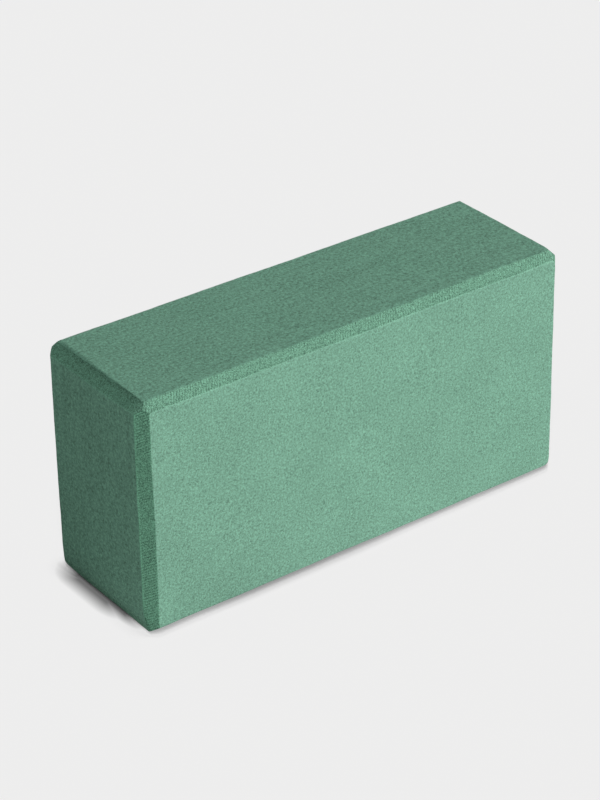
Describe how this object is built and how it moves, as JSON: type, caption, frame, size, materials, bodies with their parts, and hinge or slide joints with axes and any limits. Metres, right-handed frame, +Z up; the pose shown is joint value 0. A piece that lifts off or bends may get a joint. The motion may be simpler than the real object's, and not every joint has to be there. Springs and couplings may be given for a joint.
{
  "type": "yoga block",
  "caption": "Plain rectangular foam brick with bevelled edges and mitred corners, stood on any face to support a hand, hip or head in floor exercise.",
  "frame": {"origin": "middle of the base, as the block stands on a long narrow side", "axes": "+X along the length, +Y through the thickness from the front broad face to the rear one, +Z up"},
  "size_m": [0.22, 0.07, 0.11],
  "materials": {
    "eva_foam": "matt closed-cell EVA foam in a soft sage green, knife-sawn faces with a fine open grain, bevels cut with a rotary cutter"
  },
  "bodies": {
    "root": {"foam_block": "eva_foam"}
  },
  "joints": []
}
